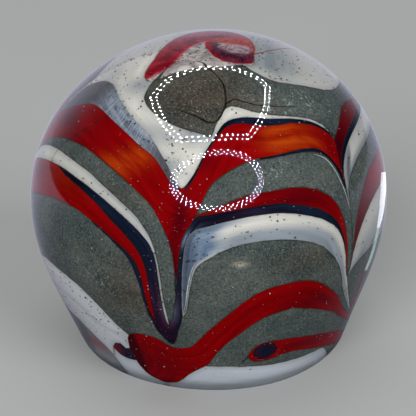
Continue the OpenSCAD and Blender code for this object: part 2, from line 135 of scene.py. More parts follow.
def blob(az, lat, at_az, at_lat, wide, high):
    """A soft patch of 1 fading to 0, on arrays of az and lat."""
    turn = (az - at_az + 180) % 360 - 180
    return np.exp(-((turn / wide) ** 2) - ((lat - at_lat) / high) ** 2)


def brush(at, strokes, soft=0.3):
    """1 inside a stroke through (x, y, half width) places in mm, seen from above, else 0."""
    here = at[:, :2] / MM
    best = np.full(len(at), np.inf)
    for (x0, y0, w0), (x1, y1, w1) in zip(strokes[:-1], strokes[1:]):
        start, run = np.array([x0, y0]), np.array([x1 - x0, y1 - y0])
        t = np.clip((here - start) @ run / (run @ run), 0, 1)
        far = np.linalg.norm(here - start - t[:, None] * run, axis=1)
        best = np.minimum(best, far / (w0 + (w1 - w0) * t))
    return step(best, 1 + soft, 1 - soft)


def step(x, low, high):
    """A smooth step from 0 at low to 1 at high."""
    t = np.clip((x - low) / (high - low), 0, 1)
    return t * t * (3 - 2 * t)


class Graph:
    """A material's node tree, built with one short call per node."""

    def __init__(self, name):
        self.material = bpy.data.materials.new(name)
        self.material.use_nodes = True
        self.tree = self.material.node_tree
        self.tree.nodes.clear()

    def add(self, kind, **options):
        made = self.tree.nodes.new("ShaderNode" + kind)
        for key, value in options.items():
            setattr(made, key, value)
        return made

    def put(self, socket, value):
        if isinstance(value, bpy.types.NodeSocket):
            self.tree.links.new(value, socket)
        elif value is not None:
            socket.default_value = value

    def attribute(self, name):
        return self.add("Attribute", attribute_name=name).outputs["Fac"]

    def position(self):
        return self.add("TexCoord").outputs["Object"]

    def math(self, operation, a, b=None, c=None, clamp=False):
        made = self.add("Math", operation=operation, use_clamp=clamp)
        for socket, value in zip(made.inputs, (a, b, c)):
            self.put(socket, value)
        return made.outputs[0]

    def vector(self, x, y, z):
        made = self.add("CombineXYZ")
        for socket, value in zip(made.inputs, (x, y, z)):
            self.put(socket, value)
        return made.outputs[0]

    def noise(self, vector, scale, detail=3.0, roughness=0.5, distortion=0.0):
        made = self.add("TexNoise")
        self.put(made.inputs["Vector"], vector)
        for key, value in (("Scale", scale), ("Detail", detail),
                           ("Roughness", roughness), ("Distortion", distortion)):
            made.inputs[key].default_value = value
        return made.outputs["Fac"]

    def cells(self, vector, scale, output="Distance"):
        made = self.add("TexVoronoi")
        self.put(made.inputs["Vector"], vector)
        made.inputs["Scale"].default_value = scale
        return made.outputs[output]

    def span(self, value, low, high, to_low=0.0, to_high=1.0):
        """value mapped from low..high to to_low..to_high, smooth and clamped."""
        made = self.add("MapRange", interpolation_type="SMOOTHSTEP")
        for socket, number in zip(made.inputs, (value, low, high, to_low, to_high)):
            self.put(socket, number)
        return made.outputs[0]

    def mix(self, factor, a, b):
        made = self.add("Mix", data_type="RGBA")
        self.put(made.inputs[0], factor)
        self.put(made.inputs[6], a)
        self.put(made.inputs[7], b)
        return made.outputs[2]

    def bump(self, height, strength, distance):
        made = self.add("Bump")
        made.inputs["Strength"].default_value = strength
        made.inputs["Distance"].default_value = distance
        self.put(made.inputs["Height"], height)
        return made.outputs[0]

    def finish(self, **sockets):
        """Adds the shader, whose sockets' names have _ for a space, and gives the material."""
        shader = self.add("BsdfPrincipled")
        for key, value in sockets.items():
            self.put(shader.inputs[key.replace("_", " ")], value)
        output = self.add("OutputMaterial")
        self.tree.links.new(shader.outputs[0], output.inputs["Surface"])
        return self.material


# ---- Materials --------------------------------------------------------------


def streaks(g, fine, coarse, seed):
    """Noise drawn out along a trail: fast across it, slow along it."""
    rise, run = g.attribute("rise"), g.attribute("run")
    return g.noise(g.vector(g.math("MULTIPLY", rise, fine),
                            g.math("MULTIPLY", run, coarse), seed), 1.0, 3.0, 0.55, 0.4)


def rim(g, colour, rim_colour, width, strength):
    """The thin uneven outline where two glasses meet."""
    wobble = g.span(g.noise(g.position(), 520.0, 2.0), 0.35, 0.65, 0.25 * width, width)
    near = g.span(g.math("DIVIDE", g.attribute("edge"), wobble), 0.2, 1.3, strength, 0.0)
    return g.mix(near, colour, rim_colour)


def make_red():
    g = Graph("red_glass")
    body = streaks(g, 0.55, 0.045, 3.0)
    cloudy = g.noise(g.position(), 120.0, 4.0, 0.6, 0.6)
    deep = g.mix(g.span(body, 0.3, 0.7), srgb(110, 2, 5), srgb(143, 4, 8))
    deep = g.mix(g.span(cloudy, 0.4, 0.75), deep, srgb(126, 4, 9))
    deep = g.mix(g.math("MULTIPLY", g.attribute("mask_b"), 0.95), deep, srgb(52, 3, 14))
    heat = g.math("MULTIPLY", g.attribute("mask_a"),
                  g.span(streaks(g, 0.5, 0.12, 9.0), 0.25, 0.62, 0.45, 1.2), clamp=True)
    hot = g.mix(g.span(body, 0.35, 0.65), srgb(150, 34, 6), srgb(178, 66, 14))
    tone = g.mix(heat, deep, hot)
    tone = rim(g, tone, srgb(84, 22, 8), 0.34, 0.7)
    return g.finish(Base_Color=tone, Roughness=0.4, Specular_IOR_Level=0.0)


def make_navy():
    g = Graph("navy_glass")
    body = streaks(g, 0.8, 0.06, 5.0)
    tone = g.mix(g.span(body, 0.3, 0.7), srgb(12, 15, 26), srgb(22, 32, 52))
    purple = g.mix(g.span(body, 0.35, 0.65), srgb(26, 14, 32), srgb(56, 18, 40))
    tone = g.mix(g.attribute("mask_a"), tone, purple)
    tone = g.mix(g.attribute("mask_c"), tone, srgb(126, 4, 9))
    pale = g.math("MULTIPLY", g.attribute("mask_b"), g.span(body, 0.36, 0.62), clamp=True)
    tone = g.mix(pale, tone, srgb(118, 138, 168))
    tone = rim(g, tone, srgb(10, 12, 18), 0.25, 0.6)
    return g.finish(Base_Color=tone, Roughness=0.4, Specular_IOR_Level=0.0)


def make_white():
    g = Graph("white_glass")
    body = streaks(g, 0.42, 0.03, 7.0)
    broad = streaks(g, 0.3, 0.02, 11.0)
    cream = g.mix(g.span(body, 0.3, 0.7), srgb(204, 203, 197), srgb(224, 220, 208))
    tone = g.mix(g.math("MULTIPLY", g.attribute("mask_b"), g.span(body, 0.25, 0.7, 0.7, 1.0)),
                 cream, srgb(132, 140, 146))
    # mask_d: painted shade, a pale bluish lilac on the lowest white trails
    tone = g.mix(g.attribute("mask_d"), tone, srgb(190, 197, 212))
    blue = g.mix(g.span(broad, 0.4, 0.7), srgb(74, 98, 124), srgb(162, 178, 194))
    tone = g.mix(g.attribute("mask_a"), tone, blue)
    tone = g.mix(g.math("MULTIPLY", g.attribute("mask_c"), g.span(body, 0.35, 0.6, 1.0, 0.45)),
                 tone, srgb(34, 48, 74))
    tone = g.mix(g.span(g.attribute("edge"), 0.0, 1.6, 0.35, 0.0), tone, srgb(128, 132, 134))
    grain = g.noise(g.position(), 2400.0, 2.0, 0.6)
    tone = g.mix(g.span(grain, 0.6, 0.8, 0.0, 0.3), tone, srgb(120, 120, 118))
    tone = rim(g, tone, srgb(104, 104, 104), 0.3, 0.55)
    return g.finish(Base_Color=tone, Roughness=0.45, Specular_IOR_Level=0.0)


def make_grey():
    g = Graph("mica_grey_glass")
    place = g.position()
    clouds = g.noise(place, 95.0, 5.0, 0.6, 0.6)
    grain = g.noise(place, 2300.0, 2.0, 0.65)
    coarse = g.noise(place, 900.0, 3.0, 0.6)
    tone = g.mix(g.span(clouds, 0.32, 0.68), srgb(64, 74, 74), srgb(86, 93, 89))
    brown = g.mix(g.span(clouds, 0.32, 0.68), srgb(54, 47, 39), srgb(86, 77, 66))
    tone = g.mix(g.attribute("mask_a"), tone, brown)
    tone = g.mix(g.span(grain, 0.5, 0.72, 0.0, 0.7), tone, srgb(34, 36, 34))
    tone = g.mix(g.span(grain, 0.5, 0.28, 0.0, 0.5), tone, srgb(120, 124, 116))
    tone = g.mix(g.span(coarse, 0.55, 0.75, 0.0, 0.5), tone, srgb(44, 46, 44))
    flake = g.cells(place, 2100.0)
    pick = g.cells(place, 2100.0, "Color")
    shown = g.math("MULTIPLY", g.span(flake, 0.34, 0.16), g.span(pick, 0.8, 0.9))
    patch = g.span(g.noise(place, 260.0, 4.0, 0.65), 0.5, 0.66)
    amount = g.math("MULTIPLY_ADD", patch, 0.5, 0.25)
    tone = g.mix(g.math("MULTIPLY", shown, amount), tone, srgb(176, 192, 184))
    glint = g.math("MULTIPLY", g.span(g.noise(place, 1300.0, 2.0, 0.8), 0.5, 0.64),
                   g.math("MULTIPLY", g.attribute("mask_b"), g.span(patch, 0.0, 0.8, 0.25, 1.0)),
                   clamp=True)
    tone = g.mix(g.math("MULTIPLY", glint, 0.75), tone, srgb(158, 174, 170))
    fleck = g.math("MULTIPLY", g.attribute("mask_c"), g.span(coarse, 0.42, 0.52), clamp=True)
    tone = g.mix(fleck, tone, srgb(172, 168, 150))
    tone = rim(g, tone, srgb(40, 40, 36), 0.4, 0.75)
    return g.finish(Base_Color=tone, Roughness=0.5, Specular_IOR_Level=0.0)


def make_smoky():
    g = Graph("smoky_glass")
    body = g.noise(g.position(), 85.0, 4.0, 0.6, 1.6)
    tone = g.mix(g.span(body, 0.3, 0.7), srgb(76, 82, 86), srgb(124, 128, 134))
    # mask_a: a painted reflection, a pink-red patch of red glass mirrored in the casing
    tone = g.mix(g.math("MULTIPLY", g.attribute("mask_a"), g.span(body, 0.3, 0.6)),
                 tone, srgb(140, 62, 66))
    grit = g.noise(g.position(), 1700.0, 3.0, 0.7)
    tone = g.mix(g.span(grit, 0.55, 0.75, 0.0, 0.5), tone, srgb(34, 36, 38))
    return g.finish(Base_Color=tone, Roughness=0.5, Specular_IOR_Level=0.0)


def make_mist():
    g = Graph("mist_glass")
    body = streaks(g, 0.8, 0.06, 13.0)
    ribs = g.noise(g.vector(g.math("MULTIPLY", g.attribute("rise"), 0.25),
                            g.math("MULTIPLY", g.attribute("run"), 2.1), 4.0), 1.0, 3.0, 0.6, 0.5)
    tone = g.mix(g.span(body, 0.3, 0.7), srgb(92, 100, 112), srgb(140, 150, 164))
    tone = g.mix(g.span(ribs, 0.5, 0.66, 0.0, 0.55), tone, srgb(186, 196, 210))
    tone = g.mix(g.attribute("mask_a"), tone, srgb(70, 68, 70))
    grit = g.noise(g.position(), 1500.0, 3.0, 0.7)
    tone = g.mix(g.span(grit, 0.52, 0.72, 0.0, 0.5), tone, srgb(80, 84, 92))
    return g.finish(Base_Color=tone, Roughness=0.45, Specular_IOR_Level=0.0)


def make_swirl(name):
    g = Graph(name)
    place = g.position()
    cloud = g.noise(place, 190.0, 4.0, 0.6, 1.4)
    lines = g.noise(place, 420.0, 3.0, 0.6, 2.2)
    tone = g.mix(g.span(cloud, 0.34, 0.66), srgb(138, 130, 128), srgb(204, 198, 194))
    tone = g.mix(g.span(lines, 0.54, 0.7, 0.0, 0.45), tone, srgb(104, 96, 96))
    share = g.math("MULTIPLY_ADD", g.math("SUBTRACT", lines, 0.5), 0.9, g.attribute("mask_a"))
    red = g.mix(g.span(cloud, 0.36, 0.64), srgb(122, 12, 26), srgb(160, 34, 46))
    tone = g.mix(g.span(share, 0.05, 0.5), tone, srgb(178, 112, 118))
    tone = g.mix(g.span(share, 0.3, 0.8), tone, red)
    hot = g.mix(g.span(lines, 0.36, 0.64), srgb(150, 30, 16), srgb(186, 84, 44))
    tone = g.mix(g.math("MULTIPLY", g.attribute("mask_b"), 0.85), tone, hot)
    plum = g.mix(g.span(cloud, 0.36, 0.64), srgb(58, 24, 44), srgb(96, 48, 70))
    tone = g.mix(g.math("MULTIPLY", g.attribute("mask_c"), 0.9), tone, plum)
    mauve = g.mix(g.span(lines, 0.38, 0.62), srgb(118, 88, 98), srgb(184, 160, 164))
    tone = g.mix(g.attribute("mask_d"), tone, mauve)
    return g.finish(Base_Color=tone, Roughness=0.45, Specular_IOR_Level=0.0)


def make_clear():
    g = Graph("clear_glass")
    waves = g.noise(g.position(), 26.0, 1.0)
    lift = g.bump(waves, 0.12, 0.0008)
    return g.finish(Base_Color=(0.985, 0.99, 1.0, 1), Roughness=0.0, IOR=1.5,
                    Transmission_Weight=1.0, Normal=lift)


def make_speck(name, low, high):
    g = Graph(name)
    tone = g.mix(g.span(g.noise(g.position(), 420.0, 1.0), 0.35, 0.65), low, high)
    return g.finish(Base_Color=tone, Roughness=0.3, Specular_IOR_Level=0.2)


def make_thread_glass(name, low, high):
    g = Graph(name)
    tone = g.mix(g.span(g.noise(g.position(), 700.0, 2.0), 0.35, 0.65), low, high)
    tone = g.mix(g.span(g.attribute("rise"), 0.0, 0.12, 0.4, 0.0), tone, low)
    return g.finish(Base_Color=tone, Roughness=0.4, Specular_IOR_Level=0.0)


MATERIALS = {
    "red_glass": make_red(),
    "navy_glass": make_navy(),
    "white_glass": make_white(),
    "mica_grey_glass": make_grey(),
    "smoky_glass": make_smoky(),
    "mist_glass": make_mist(),
    "eye_glass": make_swirl("eye_glass"),
}


# ---- Where each trail's colour turns ----------------------------------------
#
# Each function gives the shares from 0 to 1 that a material reads as mask_a, mask_b and
# so on, at points with an az and lat, a share of the way across the trail, and a place.
# Several strokes and borders started from places in the photo that a separate tracing
# script had turned into millimetres or degrees, and were then changed by hand.


def paint_swirl(at):
    """The crown's swirl: shares of red, orange, plum and mauve over the pale veil."""
    red = brush(at, [(-12.6, -10.4, 1.8), (-11.6, -8.4, 2.4), (-9.9, -5.0, 3.0), (-8.2, -1.2, 3.1),
                     (-6.1, 2.4, 3.3), (-3.0, 6.0, 4.1), (1.2, 7.2, 4.9), (5.6, 6.4, 5.0),
                     (9.0, 3.8, 3.4)], 0.42)
    red = red * step(at[:, 1] - 0.3 * at[:, 0], -7.2 * MM, -4.2 * MM)
    hook = brush(at, [(0.4, 1.6, 0.9), (0.6, -0.9, 1.0), (1.5, -2.7, 1.2), (2.6, -4.4, 1.5),
                      (4.3, -5.7, 1.7), (6.4, -6.2, 1.5), (8.6, -5.8, 1.3), (9.7, -4.0, 1.2)], 0.35)
    ring = brush(at, [(9.6, -5.0, 0.9), (10.1, -1.5, 0.9), (9.9, 1.5, 1.0), (8.6, 3.8, 1.6)], 0.4)
    orange = brush(at, [(2.0, 2.7, 1.2), (5.0, 2.9, 1.9), (8.2, 2.6, 1.6)], 0.5)
    plum = brush(at, [(1.5, -1.0, 0.8), (2.9, -3.4, 1.6), (4.8, -4.9, 2.1), (6.9, -5.1, 2.2),
                      (9.0, -4.3, 1.7)], 0.5)
    plum = np.maximum(plum, brush(at, [(1.4, 1.2, 0.8), (1.9, 0.1, 0.9)], 0.5))
    plum = np.maximum(plum, 0.65 * brush(at, [(-10.6, -6.5, 0.2), (-8.4, -3.6, 0.5), (-5.3, 1.9, 0.6),
                                              (-0.7, 5.3, 1.0), (4.6, 6.6, 1.2)], 0.6))
    plum = np.maximum(plum, 0.4 * brush(at, [(-9.6, -9.0, 1.0), (-7.4, -7.6, 1.4),
                                             (-4.4, -6.6, 0.9)], 0.6))
    mauve = brush(at, [(3.3, -0.7, 0.9), (5.6, -1.3, 1.8), (8.2, -0.8, 1.5)], 0.4)
    return np.maximum(np.maximum(red, hook), ring), np.maximum(orange, 0.6 * ring), plum, mauve


def masks_red(node, az, lat, across, at):
    """Shares of hot orange and of dark."""
    heat = np.zeros_like(az)
    dark = np.zeros_like(az)
    if node == "upper_red_trail":
        heat = blob(az, lat, -30, 46, 6, 3) + 0.75 * blob(az, lat, -39, 50, 8, 2.5)
        heat += 1.25 * blob(az, lat, 33, 40, 9, 4) + 0.6 * blob(az, lat, 45, 44, 6, 4)
        dark = blob(az, lat, -11, 82, 3, 16) + 0.7 * blob(az, lat, -80, 46, 16, 5)
        dark += 0.5 * blob(az, lat, -2, 45, 6, 3) + 0.7 * blob(az, lat, -9, 61, 3, 6)
    elif node == "red_swirl":
        return paint_swirl(at)
    elif node == "middle_red_trail":
        dark = 0.6 * blob(az, lat, 32, 58, 22, 6) + 0.35 * blob(az, lat, -80, 64, 14, 6)
        heat = 0.3 * blob(az, lat, -60, 59, 14, 3)
    elif node == "lower_red_trail":
        dark = 0.55 * blob(az, lat, 40, 94, 18, 5) * step(across, 0.1, 0.5)
        dark += 0.45 * blob(az, lat, -22, 123, 14, 9) + 1.2 * step(az, -27.5, -31)
    elif node == "far_red_trail":
        dark = blob(az, lat, 58, 48, 12, 16) + 0.6 * step(az, 60, 80)
    elif node == "far_lower_red_trail":
        dark = 0.7 * step(az, 80, 62)
    elif node == "short_red_trail":
        dark = 0.4 * blob(az, lat, 45, 116, 16, 3)
    return heat, dark


def masks_navy(node, az, lat, across, at):
    """Shares of purple, pale blue and red."""
    purple = np.zeros_like(az)
    pale = np.zeros_like(az)
    if node == "middle_navy_trail":
        purple = blob(az, lat, -15, 96, 5, 14) + 0.5 * blob(az, lat, 10, 62, 12, 3)
        pale = 0.8 * blob(az, lat, -6.5, 67, 6, 2.4) + 0.4 * blob(az, lat, -13, 92, 2.5, 5)
    elif node == "navy_fringe":
        purple = 0.8 * step(lat, 80, 96)
    elif node == "dark_trail_tip":
        purple = 0.25 + 0 * az
    elif node == "navy_spot":
        purple = step(np.hypot((az - 22) / 4.4, (lat - 115) / 3.6), 0.45, 1.0)
    red = np.zeros_like(az)
    if node == "navy_arch_trail":
        red = step(az, -7.5, -9.5)
    elif node == "dark_trail_tip":
        red = 0.55 * step(az, -37, -42)
    return purple, pale, red


def masks_white(node, az, lat, across, at):
    """Shares of blue, grey, deep blue and lilac; the lilac, and the blue on the base trail, are
    painted shade.
    """
    blue = np.zeros_like(az)
    grey = np.zeros_like(az)
    if node == "middle_white_trail":
        front = step(az, -9, -8)
        blue = front * (1.2 * step(az, 7, -2) * step(across, 1.0, 0.8)
                        + 0.8 * step(az, 18, 4) * step(across, 0.35, 0.05)
                        + 0.45 * step(across, 0.35, 0.9) * step(az, -4, 6))
        grey = front * step(across, 0.25, 0.8) * step(az, -2, 10)
        grey += front * 0.6 * step(across, 0.1, 0.45) * step(az, 20, 44)
        grey += (1 - front) * (0.25 + 0.5 * step(across, 0.7, 0.1) * step(az, -60, -30))
    elif node == "white_crown":
        grey = 0.75 * blob(az, lat, -22, 38, 22, 3.5) + 0.5 * blob(az, lat, 70, 20, 18, 6)
        grey += 0.5 * blob(az, lat, -85, 30, 14, 5) + 0.6 * blob(az, lat, 60, 13, 30, 4)
        grey += 0.8 * blob(az, lat, -16, 47, 7, 3.6) + 0.35 * step(az, 20, 60)
        grey += 0.6 * blob(az, lat, 100, 16, 40, 7) + 0.8 * blob(az, lat, -57, 26, 9, 3.5)
        grey += 0.9 * blob(az, lat, -5, 36.5, 7, 2.6)
        blue = 0.35 * blob(az, lat, -48, 24, 8, 5)
    elif node == "base_white_trail":
        # On the base trail the blue, bluer towards its lower border, is painted shade.
        blue = 0.22 + 0.16 * step(across, 0.4, 1)
        grey = 0.3 * blob(az, lat, -20, 135, 16, 8)
    elif node == "side_white_trail":
        grey = 0.1 + 0.45 * step(across, 0.4, 0.9) + 0.7 * np.exp(-(((across - 0.47) / 0.05) ** 2))
    elif node == "far_white_trail":
        grey = 0.4 + 0.6 * step(across, 0.5, 1)
    elif node == "far_lower_white_trail":
        grey = 0.6 * step(across, 0.2, 0.9) + 0.4
    deep = np.zeros_like(az)
    # The lilac on the base and side white trails is painted shade, a pale bluish tint.
    lilac = {"base_white_trail": 0.7, "side_white_trail": 0.5}.get(node, 0.0) + 0 * az
    if node == "middle_white_trail":
        deep = 0.9 * step(az, -9, -8) * step(az, -2.5, -6.5) * step(across, 1.0, 0.7)
    elif node == "far_white_trail":
        border = np.interp(lat, [50, 55.6, 61], [66, 60.5, 57])
        deep = step(az, border + 0.8, border - 0.8) * step(lat, 46, 49) * step(az, 75, 70)
    return blue, grey, deep, lilac


def masks_grey(node, az, lat, across, at):
    """Shares of brown, of glinting flakes and of a cream fleck."""
    brown = np.zeros_like(az)
    glint = np.zeros_like(az)
    fleck = np.zeros_like(az)
    if node == "upper_grey_band":
        brown = 0.95 * blob(az, lat, -10, 24, 50, 16) * step(az, 52, 26)
        glint = blob(az, lat, 36, 28, 15, 7) + 0.9 * blob(az, lat, 72, 38, 9, 5)
        glint += 1.3 * blob(az, lat, 54, 33, 12, 5)
    elif node == "middle_grey_band":
        glint = 0.7 * blob(az, lat, 25, 50, 12, 4) + 0.5 * blob(az, lat, 46, 56, 6, 6)
        brown = 0.4 * blob(az, lat, -30, 57, 14, 4)
    elif node == "grey_field":
        brown = 0.7 * blob(az, lat, -27, 88, 12, 12) + 0.55 * blob(az, lat, 34, 77, 14, 5)
        glint = blob(az, lat, -40, 84, 7, 5) + 0.9 * blob(az, lat, -25, 99, 8, 4)
        glint += 0.6 * blob(az, lat, 11, 76, 4, 2)
        fleck = blob(az, lat, 10, 75.2, 2, 0.8)
    elif node == "lower_grey_band":
        glint = blob(az, lat, 44, 104, 9, 4) + 0.5 * blob(az, lat, 20, 104, 8, 4)
    elif node == "far_grey_band":
        glint = 0.8 * blob(az, lat, 75, 55, 14, 5)
    return brown, glint, fleck


def masks_other(node, az, lat, across, at):
    none = np.zeros_like(az)
    if node == "mist_streak":
        return 0.9 * step(az, -62, -78) + 0.85 * step(az, -31, -20), none
    if node == "swirl_eye":
        return paint_swirl(at)
    # A pink-red patch painted as a reflection in the casing.
    if node == "smoky_base_patch":
        return blob(az, lat, -62, 122, 14, 2.4), none
    return none, none


MASKS = {
    "red_glass": masks_red,
    "navy_glass": masks_navy,
    "white_glass": masks_white,
    "mica_grey_glass": masks_grey,
}


# ---- The coloured trails ----------------------------------------------------

# Longest edge of a skin, and of the crown's skins
MESH_STEP = 0.8 * MM
FINE_STEP = 0.45 * MM
MOST_SPLITS = 7
WELD = 0.004 * MM
# How high a trail's face stands, and how soon it rises from its border
RELIEF = 0.10 * MM
RELIEF_REACH = 0.6 * MM
# Distance to a border that a trail doesn't have
NO_BORDER = 20 * MM
# Roughly the millimetres along a trail per degree of az
RUN_PER_DEGREE = 0.7

# The slot, az and lat of every trail's points, which the specks are strewn on
skins = []


def set_attributes(mesh, edge, rise, run, mask_a=0.0, mask_b=0.0, mask_c=0.0, mask_d=0.0):
    """Stores what the materials read, in millimetres and shares."""
    count = len(mesh.vertices)
    for name, values in (("edge", edge), ("rise", rise), ("run", run),
                         ("mask_a", mask_a), ("mask_b", mask_b), ("mask_c", mask_c),
                         ("mask_d", mask_d)):
        layer = mesh.attributes.new(name, "FLOAT", "POINT")
        layer.data.foreach_set("value", np.broadcast_to(values, count).astype(np.float32))


def outer_skin(node):
    """The CAD solid's faces that touch the clear casing, as a triangle bmesh."""
    mesh = NODES[node].data
    mesh.calc_loop_triangles()
    points = np.array([v.co for v in mesh.vertices], float)
    az, lat = angles(points)
    middle = np.stack([axis_shift(points[:, 2]), 0 * az, 0 * az + CENTRE_Z], -1)
    depth = (np.linalg.norm(cavity(az, lat) - middle, axis=1)
             - np.linalg.norm(points - middle, axis=1))
    outer = depth < 0.4 * LAYER
    bm = bmesh.new()
    verts = [bm.verts.new(p) for p in points]
    for t in mesh.loop_triangles:
        if all(outer[i] for i in t.vertices):
            bm.faces.new([verts[i] for i in t.vertices])
    bmesh.ops.delete(bm, geom=[v for v in bm.verts if not v.link_faces], context="VERTS")
    bmesh.ops.remove_doubles(bm, verts=bm.verts, dist=WELD)
    return bm


def refine(bm, longest):
    """Splits long edges until none is left, the same way on both sides of a border."""
    for _ in range(MOST_SPLITS):
        long_edges = [e for e in bm.edges if e.calc_length() > longest]
        if not long_edges:
            return
        bmesh.ops.subdivide_edges(bm, edges=long_edges, cuts=1)
        bmesh.ops.triangulate(bm, faces=[f for f in bm.faces if len(f.verts) > 3])


def drop_doubled_faces(bm):
    """Deletes each face that has the same corners as an earlier one."""
    seen, doubled = set(), []
    for f in bm.faces:
        corners = frozenset(v.index for v in f.verts)
        if corners in seen:
            doubled.append(f)
        seen.add(corners)
    bmesh.ops.delete(bm, geom=doubled, context="FACES_ONLY")


def border_samples(bm, lat):
    """Points along the upper and the lower border."""
    upper, lower = [], []
    for e in bm.edges:
        if len(e.link_faces) != 1:
            continue
        a, b = e.verts
        third = next(v for v in e.link_faces[0].verts if v not in (a, b))
        side = upper if lat[third.index] > (lat[a.index] + lat[b.index]) / 2 else lower
        side += [a.co.lerp(b.co, k / 4) for k in range(5)]
    return upper, lower


def distances(points, samples):
    """How far each point is from the nearest sample."""
    if not samples:
        return np.full(len(points), NO_BORDER)
    tree = KDTree(len(samples))
    for i, p in enumerate(samples):
        tree.insert(p, i)
    tree.balance()
    return np.array([tree.find(p)[2] for p in points])


def beside_short_red(node, az, lat):
    """1 where two grey trails touch left of the short red trail, and no outline shows."""
    if node not in ("lower_grey_band", "base_grey_strip"):
        return 0 * az
    return step(az, 16, 14) * step(lat, 113, 115)


def make_trail(node, slot):
    """A dense smooth skin in place of a trail's CAD solid."""
    bm = outer_skin(node)
    refine(bm, FINE_STEP if slot == "eye_glass" or node == "red_swirl" else MESH_STEP)
    bm.verts.index_update()
    points = np.array([v.co for v in bm.verts], float)
    az, lat = angles(points)
    on_skin = cavity(az, lat)
    for v, p in zip(bm.verts, on_skin):
        v.co = p
    upper, lower = border_samples(bm, lat)
    rise, fall = distances(on_skin, upper), distances(on_skin, lower)
    edge = np.minimum(rise, fall) + 2 * MM * beside_short_red(node, az, lat)
    across = rise / np.maximum(rise + fall, 1e-9)
    lifted = cavity(az, lat, RELIEF * (1 - np.exp(-edge / RELIEF_REACH)))
    for v, p in zip(bm.verts, lifted):
        v.co = p
    drop_doubled_faces(bm)
    bmesh.ops.recalc_face_normals(bm, faces=bm.faces)
    probe = max(bm.faces, key=lambda f: f.calc_area())
    if probe.normal.dot(probe.calc_center_median() - Vector((0, 0, CENTRE_Z))) < 0:
        bmesh.ops.reverse_faces(bm, faces=bm.faces)
    mesh = bpy.data.meshes.new(node)
    bm.to_mesh(mesh)
    bm.free()
    masks = MASKS.get(slot, masks_other)(node, az, lat, across, on_skin)
    set_attributes(mesh, edge / MM, rise / MM, az * RUN_PER_DEGREE,
                   *[np.clip(m, 0, 1) for m in masks])
    skins.append((slot, az, lat))
    material = swirl_red if node == "red_swirl" else MATERIALS[slot]
    add_piece(node + "_skin", mesh, material, [node])


swirl_red = make_swirl("red_swirl_glass")
SLOTS = {s["node"]: s["material_slot"] for s in frame["record"]["subparts"]}
BURIED = ("clear_casing", "core_gather", "base_disc")
for trail_node, trail_slot in SLOTS.items():
    if trail_node not in BURIED:
        make_trail(trail_node, trail_slot)


# ---- Core, casing and the small things in the glass ---------------------------


def round_mesh(name, point, rings, around):
    """A closed smooth body from a function of az and lat."""
    lats = np.linspace(0, 180, rings + 1)[1:-1]
    azs = np.arange(around) * 360 / around
    grid_az, grid_lat = np.meshgrid(azs, lats)
    points = np.concatenate([point(np.array([0.0]), np.array([0.0])),
                             point(grid_az.ravel(), grid_lat.ravel()),
                             point(np.array([0.0]), np.array([180.0]))])
    last = len(points) - 1
    faces = []
    for i in range(around):
        j = (i + 1) % around
        faces.append((0, 1 + i, 1 + j))
        for k in range(rings - 2):
            a = 1 + k * around
            faces.append((a + i, a + around + i, a + around + j, a + j))
        a = 1 + (rings - 2) * around
        faces.append((last, a + j, a + i))
    mesh = bpy.data.meshes.new(name)
    mesh.from_pydata([tuple(p) for p in points], [], faces)
    mesh.update()
    return mesh


def core_skin(az, lat):
    """The core just under the faces of the trails."""
    return skin(az, lat, WALL + LAYER / 3, FLOOR + LAYER / 3, CORE_ROUND)


core_mesh = round_mesh("core", core_skin, 90, 120)
# Far from any border, so that no outline shows
set_attributes(core_mesh, edge=9.0, rise=5.0, run=0.0)
add_piece("core_gather_smooth", core_mesh,
          MATERIALS["mica_grey_glass"], ["core_gather", "base_disc"])
casing = add_piece("clear_casing_smooth", round_mesh("casing", skin, 180, 256),
                   make_clear(), ["clear_casing"])
casing.visible_shadow = False
casing.visible_diffuse = False


def smooth_path(points, steps=14):
    """Points of a Catmull-Rom curve through the given ones."""
    p = np.array([points[0], *points, points[-1]], float)
    t = np.linspace(0, 1, steps, endpoint=False)[:, None]
    parts = [0.5 * (2 * b + (c - a) * t + (2 * a - 5 * b + 4 * c - d) * t ** 2
                    + (3 * b - a - 3 * c + d) * t ** 3)
             for a, b, c, d in zip(p[:-3], p[1:-2], p[2:-1], p[3:])]
    return np.concatenate([*parts, p[-2:-1]])


# Millimetres along a strand per row of points, and the least distance to its border
STRAND_RUN = 0.4
STRAND_RIM = 0.2


def thread(name, places, widths, material, lift=0.14, dome=0.08):
    """A thin strand of glass on the trails, through (az, lat) places.

    The widths, spread evenly along it, and the lift and dome above the trails are in mm.
    """
    path = smooth_path(cavity(*np.array(places, float).T))
    wide = np.interp(np.linspace(0, 1, len(path)), np.linspace(0, 1, len(widths)), widths)
    along = np.gradient(path, axis=0)
    along /= np.linalg.norm(along, axis=1, keepdims=True)
    outward = path - np.array([0, 0, CENTRE_Z])
    outward /= np.linalg.norm(outward, axis=1, keepdims=True)
    side = np.cross(along, outward)
    shares = np.array([-1, -0.6, 0, 0.6, 1])
    rows = []
    for k in shares:
        at = path + side * (wide * MM * k / 2)[:, None]
        az, lat = angles(at)
        rows.append(cavity(az, lat, (lift + dome * (1 - k * k)) * MM))
    n, m = len(path), len(shares)
    mesh = bpy.data.meshes.new(name)
    faces = [(i * m + j, i * m + j + 1, (i + 1) * m + j + 1, (i + 1) * m + j)
             for i in range(n - 1) for j in range(m - 1)]
    points = np.stack(rows, 1).reshape(-1, 3)
    mesh.from_pydata([tuple(p) for p in points], [], faces)
    share = np.tile(shares, n)
    width = np.repeat(wide, m)
    run = np.repeat(np.arange(n) * STRAND_RUN, m)
    edge = (1 - abs(share)) * width / 2 + STRAND_RIM
    set_attributes(mesh, edge, (1 + share) * width / 2, run)
    add_piece(name, mesh, material)


ash = make_thread_glass("ash_glass", srgb(26, 22, 18), srgb(52, 44, 36))
ember = make_thread_glass("ember_glass", srgb(120, 52, 32), srgb(158, 84, 58))
rose = make_thread_glass("rose_glass", srgb(108, 18, 22), srgb(132, 40, 44))
# Pale glass for the strands that are painted highlights
gleam_highlight = make_thread_glass("gleam_highlight_glass", srgb(148, 158, 160), srgb(200, 202, 198))

